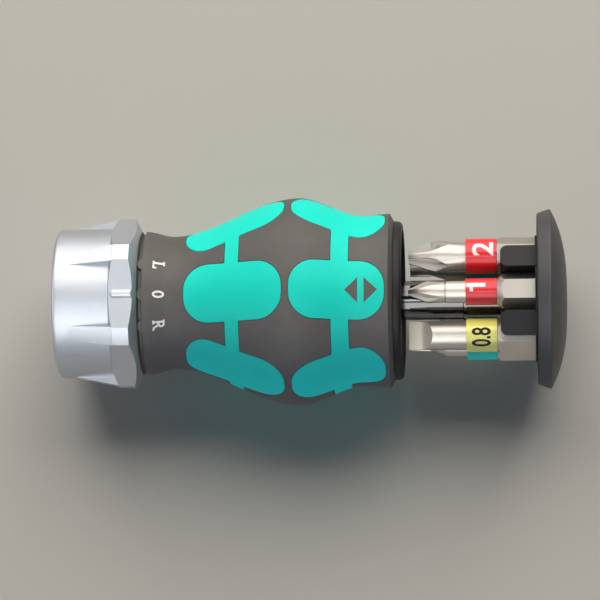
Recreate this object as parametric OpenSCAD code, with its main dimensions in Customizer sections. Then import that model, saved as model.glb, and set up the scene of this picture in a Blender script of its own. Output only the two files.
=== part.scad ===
// Stubby ratcheting bit screwdriver with a six-bit pull-out magazine.
// The tool axis lies along +X, from the bit socket's mouth at X = 0 to the end cap.
// The feature line (index mark, middle letter, pads) points to +Z.

/* [Selector ring] */
// Length of the ring from its front face to its rear edge
ring_len = 17.35; // [17:0.05:17.4]
// Radius of the front face's outer edge
ring_front_r = 13.6; // [13.2:0.1:13.9]
// Radius of the barrel just behind the front rounding
ring_nose_r = 14.6; // [14.4:0.05:14.7]
// Radius of the barrel at its rear
ring_barrel_r = 14.8; // [14.7:0.05:15.0]
// Radius over the six corners of the head
ring_corner_r = 16.6; // [16.3:0.1:17]
// Distance of the head's flats from the axis
ring_flat = 15.2; // [15.0:0.05:15.5]
// Where the ribs rise out of the barrel
rib_start = 3.2; // [2.5:0.1:5]
// Width of a rib at its front end
rib_front_w = 2.9; // [2:0.1:3.4]
// Width of a rib where it meets the head
rib_rear_w = 3.9; // [3:0.1:4.4]
// Drop from the head's corners to the rear end of the ribs
rib_drop = 0.15; // [0.1:0.05:0.4]
// Where the head's front step begins
head_start = 10.7; // [9:0.1:12]
// Axial length of the head's front step
head_step = 1.2; // [0.8:0.1:1.5]
// Where the head's rear chamfer begins
head_end = 15.1; // [14:0.1:15.4]
// Where the rear neck begins
neck_start = 16.5; // [16.3:0.05:16.6]
// Length of the slope from the rear chamfer down to the neck
neck_drop = 0.4; // [0.2:0.1:0.5]
// Radius where the rear chamfer ends
chamfer_r = 14.0; // [13.7:0.1:14.3]
// Radius of the rear neck under the pointer nubs
neck_r = 13.3; // [13.1:0.05:13.4]
// Radius of the recess in the front face
recess_r = 9.2; // [9:0.1:10]
// Depth of the recess in the front face
recess_depth = 2.4; // [2.3:0.05:2.6]
// Thickness of the front wall behind the recess
front_wall = 1.6; // [1.4:0.05:1.7]
// Width of the raised index bar
index_w = 1.9; // [1.4:0.1:2.4]
// Height of the index bar over its flat
index_h = 0.5; // [0.3:0.05:0.7]
// Angle from the middle mark to each outer mark
mark_angle = 26; // [20:1:28]

/* [Bit socket and spindle] */
// Outer radius of the bit holder
holder_r = 6.5; // [6.3:0.05:6.52]
// Width across flats of the hexagonal socket
socket_af = 6.4; // [6.36:0.01:6.5]
// Depth of the hexagonal socket
socket_depth = 13.6; // [12:0.1:14]
// Radius of the magnet at the socket's end
magnet_r = 2.85; // [2.4:0.05:3]
// Length of the magnet
magnet_len = 4.0; // [3:0.1:5]
// Radius of the gear seat on the bit holder
seat_r = 5.4; // [5.3:0.05:5.6]
// Radius of the rear journal
journal_r = 5.0; // [4.7:0.05:5.2]
// Running clearance of shafts in their bores
run_gap = 0.06; // [0.03:0.01:0.09]

/* [Ratchet] */
// Number of ratchet teeth
gear_teeth = 48; // [48:12:60]
// Radius over the gear's teeth
gear_tip_r = 8.3; // [8.1:0.05:8.4]
// Depth of the teeth
gear_tooth_h = 0.9; // [0.7:0.05:1]
// Length of the gear along the axis
gear_len = 5.6; // [5:0.1:5.7]
// Outer radius of the ratchet body
body_r = 12.1; // [12.0:0.05:12.2]
// Wall of the ratchet body outside the pawl pockets
pocket_wall = 0.75; // [0.65:0.05:0.8]
// Radius of a pawl's pivot pin
pin_r = 0.7; // [0.6:0.05:0.8]
// Outer radius of the spindle bush
bush_r = 6.6; // [6.4:0.05:6.8]
// Radius of the detent ball
ball_r = 1.0; // [0.8:0.05:1.1]
// Travel of the detent ball
ball_travel = 0.3; // [0.2:0.05:0.35]

/* [Handle] */
// Where the handle's front rim begins
handle_start = 17.5; // [17.5:0.05:17.6]
// Radius of the front rim
rim_r = 14.05; // [13.8:0.05:14.3]
// Position of the front waist
waist_x = 22.7; // [21:0.1:24]
// Radius of the front waist
waist_r = 13.0; // [12.9:0.05:13.5]
// Position of the belly
belly_x = 47.3; // [45:0.1:49]
// Radius of the belly
belly_r = 20.25; // [19.5:0.05:21]
// Position of the rear waist
rear_waist_x = 60.0; // [59:0.1:61]
// Radius of the rear waist
rear_waist_r = 16.6; // [16.5:0.05:17]
// Position of the rear collar's edge
collar_x = 65.1; // [64.8:0.1:65.2]
// Radius of the rear collar
collar_r = 17.0; // [16.8:0.05:17.4]
// Rear end of the handle
handle_end = 65.9; // [65.8:0.05:66.1]
// Thickness of the soft grip
grip_t = 1.2; // [0.8:0.05:1.3]
// Width of the hard pads
pad_w = 11.3; // [9:0.1:12]
// Corner radius of the hard pads
pad_corner_r = 5.3; // [3:0.1:5.4]
// Front and rear ends of the front row of pads
front_pads = [25.6, 45.1];
// Front and rear ends of the rear row of pads
rear_pads = [46.3, 64.4];
// Front and rear edges of the band that joins the front pads
front_band = [33.7, 36.4];
// Front and rear edges of the band that joins the rear pads
rear_band = [54.2, 57.5];
// Radius of the magazine cavity's front part
cavity_r = 12.9; // [12.8:0.05:13]
// Front end of the magazine cavity
cavity_x = 32.0; // [31.8:0.1:32.4]
// Where the cavity opens out for the claws
cavity_step_x = 56.5; // [55:0.1:57.5]
// Radius of the mouth's bore
mouth_r = 13.8; // [13.75:0.05:13.9]
// Outer radius of the mouth lip
lip_r = 15.5; // [15.3:0.05:15.6]
// Length of the lip behind the handle
lip_len = 1.7; // [1.4:0.05:1.75]

/* [Magazine] */
// Rim face of the end cap when the magazine is pulled out
cap_x = 93.7; // [93:0.1:94]
// Radius of the rim's face edge
cap_rim_r = 16.7; // [16.6:0.05:17.2]
// Largest radius of the cap
cap_r = 17.6; // [17.3:0.05:18.5]
// Length of the rim's taper
cap_taper = 2.6; // [2.3:0.1:3]
// Height of the cap's dome
cap_dome = 3.2; // [2.5:0.1:4]
// Depth of the recess that takes the lip
cap_recess = 1.9; // [1.8:0.05:2]
// Radius of the circle that the bits stand on
bit_circle_r = 8.95; // [8.9:0.05:9]
// Radius of the front part of the guide column
column_r = 3.85; // [3.7:0.05:3.9]
// Radius of the rear part of the column
sleeve_r = 4.1; // [3.95:0.05:4.2]
// Where the column's two parts meet
column_joint_x = 79.3; // [75:0.1:82]
// Length of the claws in front of the rim face
claw_len = 7.1; // [6:0.1:8]
// Distance of the claws' outer faces from the axis
claw_r = 13.2; // [13.0:0.05:13.25]
// Width of a claw's outer face
claw_w = 5.2; // [4:0.1:5.4]
// Chamfer along a claw's edges
claw_chamfer = 0.9; // [0.4:0.1:1.0]
// Turn of the magazine against the index mark, in degrees
magazine_turn = -2.5; // [-30:0.5:30]

/* [Bits] */
// Length of a bit
bit_len = 25.0; // [24:0.5:25.5]
// Width across flats of a bit's shank
shank_af = 6.35; // [6.25:0.01:6.35]
// Length of the hexagonal shank
shank_len = 7.8; // [7:0.1:9]
// Length of a colour sleeve
sleeve_len = 6.0; // [5:0.1:6.2]
// Radius of the round neck of the larger bits
neck_large_r = 3.05; // [2.9:0.05:3.1]
// Radius of the round neck of the slotted bit
neck_slotted_r = 2.85; // [2.7:0.05:3]
// Radius of the round neck of the small cross bit
neck_small_r = 2.2; // [2.1:0.05:2.4]
// Wall of a colour sleeve
sleeve_wall = 0.4; // [0.3:0.05:0.4]
// Blade width of the slotted bit
blade_w = 5.6; // [5:0.1:5.7]
// Blade thickness of the slotted bit
blade_t = 0.8; // [0.6:0.05:1.2]
// Radii over the lobes of the three star bits
star_tip_r = [1.65, 1.97, 2.25];

/* [Hidden] */

$fn = 64;
// Overrun of every cut past the face that it opens
over = 0.5;
// Gap between pieces that move past each other
slip = 0.15;
sides = 6;
step = 360 / sides;

// Axial places of the nose and the ratchet
wall_end = recess_depth + front_wall;
ring_slip = 0.08;
ring_bore_r = body_r + ring_slip;
nose_groove = [0.9, 1.75];
groove_depth = 0.5;
snap_t = 0.75;
snap_r = 8.2;
snap_opening = 30;
washer_t = 0.5;
washer_r = 8.8;
body_start = wall_end + 2 * slip;
peg_len = 1.1;
face_gap = 0.2;
body_face = wall_end + peg_len + slip;
gear_start = body_face + face_gap;
gear_end = gear_start + gear_len;
pocket_end = gear_end;
bush_start = gear_end + 2 * slip;
bush_len = 8.0;
bush_end = bush_start + bush_len;
clip_start = bush_end + slip;
clip_t = 0.8;
clip_r = 6.4;
clip_opening = 70;
holder_end = 0.9;
holder_len = clip_start + clip_t + holder_end;
shank_hex_af = 19.6;
shank_hex_len = 6.5;
body_end = handle_start + shank_hex_len;
rear_room_r = 7.2;
rear_room_gap = 0.6;
rear_room_end = holder_len + rear_room_gap;
thread_r = 1.9;

// Pawls, as polar angles from the feature line
pocket_r = body_r - pocket_wall;
pivot_depth = 1.45;
pivot_r = pocket_r - pivot_depth;
gear_root_r = gear_tip_r - gear_tooth_h;
tooth_pitch = 360 / gear_teeth;
nose_teeth = 4.5;
nose_share = 0.4;
nose_b = tooth_pitch * nose_teeth;
nose_half_b = tooth_pitch * nose_share;
pivot_b = 56;
tail_b = 73;
ear_b = 70;
pocket_b = [24, 80];
mesh_gap = 0.15;
pawl_boss_r = 1.25;
pawl_back = 1.0;
pawl_back_r = pivot_r + pawl_back;
heel_b = 6;
pawl_heel_b = pivot_b - heel_b;
tail_t = 1.4;
ear_r = 0.6;
ear_len = 1.1;
peg_r = 0.7;
peg_gap_b = (ear_r + peg_r + slip) / pivot_r * 180 / PI;
peg_b = ear_b + mark_angle + peg_gap_b;
pawl_start = gear_start + face_gap;
pawl_len = gear_len - 2 * face_gap;
pin_root = 3.5;
leaf_t = 0.2;
leaf_b = [27, 46];
leaf_gap = 0.02;

// Detent under the ring, opposite the feature line
detent_x = 14.0;
detent_turn = 180;
detent_depth = 3.5;
detent_floor_r = body_r - detent_depth;
ball_gap = 0.05;
dimple_gap = 0.12;
coil_r = 0.65;
coil_wire_r = 0.13;
coil_turns = 4;

// Handle; the steps are those of its outline's four blends
line_steps = [4, 12, 8, 3];
bulkhead_hole_r = 2.0;
rod_r = 2.3;
rod_collar_r = 3.4;
rod_collar_len = 1.6;
collar_room_r = 4.3;
collar_room_depth = 2.0;
spigot_r = 14.7;
spigot_x = 61.0;
lip_fillet = 1.0;
nub_w = 2.4;
nub_len = 0.85;
nub_r = neck_r + slip;
nub_top_r = rim_r - grip_t / 8;
pad_round = min(pad_corner_r, pad_w / 2);
reach = 2 * belly_r;

// Magazine
dome_steps = 8;
dome_power = 3;
cap_floor = cap_x + cap_recess;
recess_bore_r = lip_r + 2 * slip;
crown_base_r = 13.4;
rim_inset = 0.1;
seat_x = cap_x + rim_inset;
close_gap = 0.1;
travel = cap_x - handle_end - close_gap;
claw_start = cap_x - claw_len;
claw_gap = 0.15;
claw_root = 0.5;
claw_nose = 0.9;
rod_stop_r = 2.9;
rod_stop_len = 2.0;
rod_end_r = 1.8;
rod_tip = 0.3;
column_bore_r = rod_stop_r + slip;
column_lip_r = rod_r + slip;
column_lip = 2.2;
column_start = 60.2;
rod_stop_x = column_start + column_lip + slip;
crown_bore_r = column_bore_r;

// Bits
tip_x = seat_x - bit_len;
hex_x = seat_x - shank_len;
sleeve_gap = 0.1;
sleeve_x = hex_x - sleeve_gap - sleeve_len;
shank_chamfer = 0.5;
cross_1_angle = 0;
slotted_angle = step;
star_1_angle = 2 * step;
star_2_angle = 3 * step;
star_3_angle = 4 * step;
cross_2_angle = 5 * step;
// Point radius, cone length and radius, waist distance and radius, wing thickness
cross_1_tip = [0.6, 3.6, 2.15, 7.6, 1.95, 0.7];
cross_2_tip = [1.35, 5.3, 3.15, 11.0, 2.65, 1.05];
flute_slant = 14.5;
cross_1_roll = 36;
cross_2_roll = 14;
slotted_roll = -50;
star_tip_len = 3.2;
star_cone_len = 4.0;
star_flute_share = 0.42;
star_place_share = 1.18;
star_root_share = 0.75;
blade_len = 4.0;
blade_grind_r = 6.5;

// Shape helpers: a revolved profile of [radius, x] points, a section
// in the YZ plane drawn out along X, and a turn about the tool axis.
module turned(points) {
    rotate([90, 0, 90]) rotate_extrude() polygon(points);
}
module along(x, len) {
    translate([x, 0, 0]) rotate([90, 0, 90]) linear_extrude(len) children();
}
module about(angle) {
    rotate([angle, 0, 0]) children();
}
module all_round() {
    for (k = [0:sides - 1]) about(k * step) children();
}
module tube(x, len, outer_r, inner_r) {
    turned([[inner_r, x], [outer_r, x], [outer_r, x + len], [inner_r, x + len]]);
}
module rod(x, len, r) {
    along(x, len) circle(r);
}
module hex(x, len, af) {
    along(x, len) circle(r = af / sqrt(3), $fn = sides);
}
function pol(r, b) = [r * sin(b), r * cos(b)];
function smooth(t) = t * t * (3 - 2 * t);
function blend(x0, r0, x1, r1, n, inset) =
    [for (i = [0:n - 1]) let (t = i / n) [r0 + (r1 - r0) * smooth(t) - inset, x0 + (x1 - x0) * t]];

// The handle's outline as [radius, x], drawn in by inset
function handle_line(inset) = concat(
    blend(handle_start, rim_r, waist_x, waist_r, line_steps[0], inset),
    blend(waist_x, waist_r, belly_x, belly_r, line_steps[1], inset),
    blend(belly_x, belly_r, rear_waist_x, rear_waist_r, line_steps[2], inset),
    blend(rear_waist_x, rear_waist_r, collar_x, collar_r, line_steps[3], inset),
    [[collar_r - inset, collar_x]]
);

// Selector ring: a cast barrel with six ribs that run into a hexagonal head
module selector_ring() {
    front_round = ring_nose_r - ring_front_r;
    rib_end = head_start + head_step;
    color("silver")
    difference() {
        union() {
            turned(concat(
                [[0, 0], [ring_front_r, 0]],
                [for (a = [15:15:90])
                    [ring_front_r + front_round * sin(a), front_round * (1 - cos(a))]],
                [[ring_barrel_r, head_start + head_step], [chamfer_r, head_end],
                    [chamfer_r, neck_start], [neck_r, neck_start + neck_drop],
                    [neck_r, ring_len], [0, ring_len]]
            ));
            intersection() {
                turned([[0, head_start], [chamfer_r, head_start],
                    [ring_corner_r, head_start + head_step], [ring_corner_r, head_end],
                    [chamfer_r, neck_start], [0, neck_start]]);
                union() {
                    hex(head_start - over, neck_start - head_start + 2 * over, 2 * ring_flat);
                    index_bar();
                }
            }
            intersection() {
                turned([[0, rib_start], [ring_nose_r, rib_start],
                    [ring_corner_r - rib_drop, head_start + head_step],
                    [chamfer_r, head_end], [0, head_end]]);
                all_round() about(step / 2) linear_extrude(reach)
                    polygon([[rib_start, -rib_front_w / 2], [rib_end, -rib_rear_w / 2],
                        [head_end, -rib_rear_w / 2], [head_end, rib_rear_w / 2],
                        [rib_end, rib_rear_w / 2], [rib_start, rib_front_w / 2]]);
            }
        }
        rod(-over, recess_depth + over, recess_r);
        rod(0, wall_end + over, holder_r + run_gap);
        rod(wall_end, ring_len, ring_bore_r);
        for (a = [-mark_angle, 0, mark_angle]) about(detent_turn + a)
            translate([detent_x, 0, body_r - ball_r + ball_travel])
                sphere(ball_r + dimple_gap);
    }
    color("silver")
    for (s = [-1, 1])
        along(wall_end - front_wall / 2, front_wall / 2 + peg_len)
            translate(pol(pivot_r, s * peg_b)) circle(peg_r);
}
module index_bar() {
    bar_r = index_w / 2;
    axis_h = ring_flat + index_h - bar_r;
    start = head_start + head_step / 2 + bar_r;
    translate([start, 0, axis_h]) {
        sphere(bar_r);
        rotate([0, 90, 0]) cylinder(h = neck_start - start, r = bar_r);
    }
}

// Nose: the spring ring in the holder's groove and the washer behind it
module nose_snap_ring() {
    color("dimgray")
    rotate([90, 0, 90]) rotate([0, 0, snap_opening / 2])
        rotate_extrude(angle = 360 - snap_opening)
            translate([holder_r - groove_depth, nose_groove[0]])
                square([snap_r - holder_r + groove_depth, snap_t]);
}
module nose_washer() {
    color("gray")
    tube(nose_groove[1], washer_t, washer_r, holder_r + run_gap);
}

// Bit holder: hexagonal socket in front, gear seat and journal behind
module bit_holder() {
    socket_round = 0.4;
    color("lightsteelblue")
    difference() {
        turned([[0, 0], [holder_r - socket_round, 0], [holder_r, socket_round],
            [holder_r, nose_groove[0]], [holder_r - groove_depth, nose_groove[0]],
            [holder_r - groove_depth, nose_groove[1]], [holder_r, nose_groove[1]],
            [holder_r, gear_start], [seat_r, gear_start], [seat_r, gear_end],
            [journal_r, gear_end], [journal_r, clip_start],
            [journal_r - groove_depth, clip_start],
            [journal_r - groove_depth, clip_start + clip_t],
            [journal_r, clip_start + clip_t], [journal_r, holder_len], [0, holder_len]]);
        hex(-over, socket_depth + over, socket_af);
        rod(socket_depth - over, magnet_len + over, magnet_r);
        turned([[0, -over], [socket_af / sqrt(3) + over, -over], [socket_af / 2, socket_round],
            [0, socket_round]]);
    }
}
module socket_magnet() {
    color("gainsboro")
    rod(socket_depth, magnet_len, magnet_r);
}

// Fine-tooth gear pressed on the bit holder
module ratchet_gear() {
    color("slategray")
    along(gear_start, gear_len)
        difference() {
            polygon([for (k = [0:gear_teeth - 1], half = [0, 1])
                pol(half == 0 ? gear_tip_r : gear_root_r, (k + half / 2) * tooth_pitch)]);
            circle(seat_r);
        }
}
module spindle_bush() {
    color("darkgoldenrod")
    tube(bush_start, bush_len, bush_r, journal_r + run_gap);
}
module rear_circlip() {
    color("dimgray")
    rotate([90, 0, 90]) rotate([0, 0, clip_opening / 2])
        rotate_extrude(angle = 360 - clip_opening)
            translate([journal_r - groove_depth, clip_start])
                square([clip_r - journal_r + groove_depth, clip_t]);
}

// Ratchet body: carries the pawls inside the ring and is keyed into the handle
module ratchet_body() {
    color("slategray")
    difference() {
        union() {
            rod(body_start, handle_start - slip - body_start, body_r);
            hex(handle_start - 2 * slip, body_end - handle_start + 2 * slip, shank_hex_af);
        }
        rod(body_start - over, body_face - body_start + over, pocket_r);
        rod(body_start, gear_end + slip - body_start, gear_tip_r + 2 * slip);
        rod(gear_end - over, bush_end - gear_end + over, bush_r);
        rod(bush_end, rear_room_end - bush_end, rear_room_r);
        rod(rear_room_end - over, body_end - rear_room_end + 2 * over, thread_r);
        for (s = [-1, 1]) {
            along(body_start, pocket_end - body_start) pocket(s);
            along(pocket_end - over, pin_root + over)
                translate(pol(pivot_r, s * pivot_b)) circle(pin_r);
        }
        about(detent_turn) translate([detent_x, 0, detent_floor_r])
            cylinder(h = body_r, r = ball_r + ball_gap);
    }
}
module pocket(s) {
    intersection() {
        circle(pocket_r);
        polygon([[0, 0], pol(reach, s * pocket_b[0]), pol(reach, s * pivot_b),
            pol(reach, s * pocket_b[1])]);
    }
}

// Pawls: one tooth each, struts that lock the gear in one direction
module pawl(s) {
    color("lightslategray")
    difference() {
        union() {
            along(pawl_start, pawl_len) {
                polygon([
                    pol(gear_root_r + mesh_gap, s * nose_b),
                    pol(gear_tip_r + mesh_gap, s * (nose_b + nose_half_b)),
                    pol(pivot_r - pawl_boss_r + leaf_t, s * pivot_b),
                    pol(pivot_r - tail_t / 2, s * tail_b),
                    pol(pivot_r + tail_t / 2, s * tail_b),
                    pol(pawl_back_r, s * pawl_heel_b),
                    pol(pivot_r, s * (nose_b - nose_half_b)),
                    pol(gear_tip_r + mesh_gap, s * (nose_b - nose_half_b))
                ]);
                translate(pol(pivot_r, s * pivot_b)) circle(pawl_boss_r);
            }
            along(pawl_start - ear_len, ear_len + pawl_len / 2)
                translate(pol(pivot_r, s * ear_b)) circle(ear_r);
        }
        along(pawl_start - over, pawl_len + 2 * over)
            translate(pol(pivot_r, s * pivot_b)) circle(pin_r + run_gap);
    }
}
module pawl_pins() {
    color("gray")
    for (s = [-1, 1])
        along(pawl_start, pawl_len + pin_root)
            translate(pol(pivot_r, s * pivot_b)) circle(pin_r);
}
module pawl_springs() {
    leaf_r = pocket_r - leaf_gap;
    color("goldenrod")
    for (s = [-1, 1])
        along(pawl_start, pawl_len) intersection() {
            difference() {
                circle(leaf_r);
                circle(leaf_r - leaf_t);
            }
            polygon([[0, 0], pol(reach, s * leaf_b[0]), pol(reach, s * leaf_b[1])]);
        }
}

// Detent: a ball that clicks into one of the ring's three dimples
module detent_ball() {
    color("gainsboro")
    about(detent_turn) translate([detent_x, 0, body_r - ball_r]) sphere(ball_r);
}
module detent_spring() {
    len = body_r - 2 * ball_r - detent_floor_r - 2 * coil_wire_r;
    color("goldenrod")
    about(detent_turn) translate([detent_x, 0, detent_floor_r + coil_wire_r])
        coil(coil_r, coil_wire_r, coil_turns, len);
}
module coil(r, wire_r, turns, len) {
    rings = turns * 8;
    edge = 6;
    points = [for (i = [0:rings], j = [0:edge - 1])
        let (a = i / rings * turns * 360, b = j / edge * 360, d = r + wire_r * cos(b))
            [d * cos(a), d * sin(a), i / rings * len + wire_r * sin(b)]];
    walls = [for (i = [0:rings - 1], j = [0:edge - 1], half = [0, 1])
        let (p = i * edge + j, q = i * edge + (j + 1) % edge)
            half == 0 ? [p, q, p + edge] : [q, q + edge, p + edge]];
    polyhedron(points, concat(walls, [[for (j = [edge - 1:-1:0]) j]],
        [[for (j = [0:edge - 1]) rings * edge + j]]));
}

// Handle: hard core whose pads and bands stand flush in the soft grip
module windows() {
    all_round() {
        linear_extrude(reach) pad_outline(front_pads[0], front_pads[1]);
        linear_extrude(reach) pad_outline(rear_pads[0], rear_pads[1]);
    }
    for (band = [front_band, rear_band])
        rod(band[0], band[1] - band[0], reach);
}
module pad_outline(x0, x1) {
    translate([x0 + pad_round, -pad_w / 2]) square([x1 - x0 - 2 * pad_round, pad_w]);
    translate([x0, pad_round - pad_w / 2]) square([x1 - x0, pad_w - 2 * pad_round]);
    for (x = [x0 + pad_round, x1 - pad_round], y = [pad_round - pad_w / 2, pad_w / 2 - pad_round])
        translate([x, y]) circle(pad_round);
}
module handle_solid(inset) {
    line = handle_line(inset);
    turned(concat([[0, handle_start]], line,
        [[lip_r, handle_end], [0, handle_end]]));
}
module handle_core() {
    color("mediumturquoise")
    difference() {
        union() {
            handle_solid(grip_t);
            intersection() {
                handle_solid(0);
                windows();
            }
        }
        hex(handle_start - over, body_end - handle_start + over, shank_hex_af);
        rod(body_end - over, cavity_x - body_end + over, bulkhead_hole_r);
        rod(cavity_x - collar_room_depth, collar_room_depth + over, collar_room_r);
        rod(cavity_x, handle_end - cavity_x, cavity_r);
        rod(cavity_step_x, handle_end - cavity_step_x, mouth_r);
        rod(spigot_x, handle_end - spigot_x + over, spigot_r);
    }
}
module soft_grip() {
    color("dimgray") {
        difference() {
            handle_solid(0);
            handle_solid(grip_t);
            windows();
        }
        intersection() {
            for (a = [-mark_angle, 0, mark_angle]) about(a) linear_extrude(rim_r)
                polygon(concat(
                    [for (b = [0:20:180])
                        [handle_start - nub_len * sin(b), nub_w / 2 * cos(b)]],
                    [[handle_start + grip_t, -nub_w / 2], [handle_start + grip_t, nub_w / 2]]
                ));
            turned([[nub_r, neck_start + neck_drop], [nub_top_r, handle_start - nub_len],
                [nub_top_r, handle_start + grip_t], [nub_r, handle_start + grip_t]]);
        }
    }
}

// Mouth ring: pressed into the handle, its lip closes into the cap
module mouth_ring() {
    lip_end = handle_end + lip_len;
    color("dimgray")
    turned(concat(
        [[mouth_r, spigot_x], [spigot_r, spigot_x], [spigot_r, handle_end],
            [lip_r, handle_end]],
        [for (a = [0:18:90])
            [lip_r - lip_fillet * (1 - cos(a)), lip_end - lip_fillet * (1 - sin(a))]],
        [[mouth_r, lip_end]]
    ));
}

// Guide rod: bolts the ratchet body to the bulkhead and guides the magazine
module guide_rod() {
    collar_start = cavity_x - collar_room_depth;
    color("silver")
    turned([[0, rear_room_end + slip], [thread_r, rear_room_end + slip],
        [thread_r, collar_start], [rod_collar_r, collar_start],
        [rod_collar_r, collar_start + rod_collar_len], [rod_r, collar_start + rod_collar_len],
        [rod_r, rod_stop_x], [rod_end_r, rod_stop_x],
        [rod_end_r, rod_stop_x + rod_stop_len + rod_tip], [0, rod_stop_x + rod_stop_len + rod_tip]]);
}
module rod_stop() {
    color("gray")
    tube(rod_stop_x, rod_stop_len, rod_stop_r, rod_end_r);
}

// Magazine: column on the guide rod, crown of claws, and end cap
module guide_column() {
    color("black")
    turned([[column_lip_r, column_start], [column_r - claw_gap, column_start],
        [column_r, column_start + claw_gap], [column_r, column_joint_x],
        [column_bore_r, column_joint_x], [column_bore_r, column_start + column_lip],
        [column_lip_r, column_start + column_lip]]);
}
module column_sleeve() {
    color("black")
    turned([[column_bore_r, column_joint_x], [sleeve_r - claw_gap, column_joint_x],
        [sleeve_r, column_joint_x + claw_gap], [sleeve_r, seat_x],
        [column_bore_r, seat_x]]);
}
module bit_crown() {
    socket_af = shank_af + 2 * claw_gap;
    nose_start = claw_start + claw_nose;
    color("dimgray")
    about(magazine_turn) difference() {
        union() {
            rod(seat_x, cap_floor - seat_x, crown_base_r);
            along(claw_start, seat_x - claw_start + claw_root) difference() {
                for (k = [0:sides - 1]) rotate(k * step) claw_outline();
                for (k = [0:sides - 1]) translate(pol(bit_circle_r, k * step))
                    rotate(-k * step) circle(r = socket_af / sqrt(3), $fn = sides);
                circle(sleeve_r + slip);
            }
        }
        turned([[claw_r - claw_nose, claw_start - over], [reach, claw_start - over],
            [reach, nose_start], [claw_r + claw_nose, nose_start + claw_nose],
            [claw_r - claw_nose, claw_start]]);
        rod(claw_start, cap_floor - claw_start + over, crown_bore_r);
    }
}
module claw_outline() {
    shoulder = claw_w / 2 + claw_chamfer;
    stem = claw_w / 4;
    rotate(step / 2)
    polygon([[-stem, sleeve_r], [-stem, bit_circle_r], [-shoulder, claw_r - 2 * claw_chamfer],
        [-shoulder, claw_r - claw_chamfer], [-claw_w / 2, claw_r], [claw_w / 2, claw_r],
        [shoulder, claw_r - claw_chamfer], [shoulder, claw_r - 2 * claw_chamfer],
        [stem, bit_circle_r], [stem, sleeve_r]]);
}
module end_cap() {
    rim_x = cap_x + cap_taper;
    color("dimgray")
    difference() {
        turned(concat([[0, cap_x], [cap_rim_r, cap_x]],
            [for (i = [0:dome_steps - 1]) let (share = 1 - i / dome_steps)
                [cap_r * share, rim_x + cap_dome * (1 - pow(share, dome_power))]],
            [[0, rim_x + cap_dome]]));
        rod(cap_x - over, cap_recess + over, recess_bore_r);
    }
}

// Bits: a turned and milled tip in front of a hexagonal shank
module bit_blank(neck_r, tip_points) {
    corner_r = shank_af / sqrt(3);
    intersection() {
        turned(concat([[0, tip_x]], tip_points,
            [[neck_r, hex_x - shank_chamfer], [corner_r, hex_x + corner_r - neck_r],
                [corner_r, seat_x - shank_chamfer], [corner_r - shank_chamfer, seat_x],
                [0, seat_x]]));
        union() {
            rod(tip_x - over, hex_x - tip_x + over, corner_r);
            hex(hex_x, shank_len, shank_af);
        }
    }
}
module at_bit(angle) {
    about(magazine_turn + angle) translate([0, 0, bit_circle_r]) children();
}
// Cross tip: four square flutes, milled at a slant, leave four wings on a cone
module cross_bit(neck_r, tip, roll) {
    wing_t = tip[5];
    color("rosybrown")
    difference() {
        bit_blank(neck_r, [[tip[0], tip_x], [tip[2], tip_x + tip[1]],
            [tip[4], tip_x + tip[3]], [neck_r, tip_x + tip[3]]]);
        for (k = [0:3]) about(roll + 90 * k)
            translate([tip_x, 0, wing_t / sqrt(2)]) rotate([0, -flute_slant, 0])
                along(-bit_len, 2 * bit_len)
                    polygon([[0, 0], [shank_af, shank_af], [-shank_af, shank_af]]);
    }
}
module bit_cross_1() {
    at_bit(cross_1_angle) cross_bit(neck_small_r, cross_1_tip, cross_1_roll);
}
module bit_cross_2() {
    at_bit(cross_2_angle) cross_bit(neck_large_r, cross_2_tip, cross_2_roll);
}
// Slotted tip: two hollow-ground faces
module bit_slotted() {
    color("rosybrown")
    at_bit(slotted_angle) difference() {
        bit_blank(neck_slotted_r, [[blade_w / 2, tip_x], [blade_w / 2, tip_x + blade_len],
            [neck_slotted_r, tip_x + blade_len]]);
        for (side = [0, 180]) about(slotted_roll + side)
            translate([tip_x, 0, blade_t / 2 + blade_grind_r]) rotate([90, 0, 0])
                cylinder(h = 4 * blade_w, r = blade_grind_r, center = true);
    }
}
// Star tip: six round lobes with six round flutes between them
module star_bit(lobe_r) {
    flute_r = lobe_r * star_flute_share;
    flute_place = lobe_r * star_place_share;
    root_r = lobe_r * star_root_share;
    color("rosybrown")
    union() {
        along(tip_x, star_tip_len + star_cone_len / 4) difference() {
            circle(lobe_r);
            for (k = [0:sides - 1]) translate(pol(flute_place, k * step)) circle(flute_r);
        }
        bit_blank(neck_large_r, [[root_r, tip_x], [root_r, tip_x + star_tip_len],
            [neck_large_r, tip_x + star_tip_len + star_cone_len]]);
    }
}
module bit_star_1() {
    at_bit(star_1_angle) star_bit(star_tip_r[0]);
}
module bit_star_2() {
    at_bit(star_2_angle) star_bit(star_tip_r[1]);
}
module bit_star_3() {
    at_bit(star_3_angle) star_bit(star_tip_r[2]);
}

// Colour sleeves, shrunk on the bits' necks
module colour_sleeve(angle, neck_r) {
    at_bit(angle) tube(sleeve_x, sleeve_len, neck_r + sleeve_wall, neck_r);
}

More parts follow.
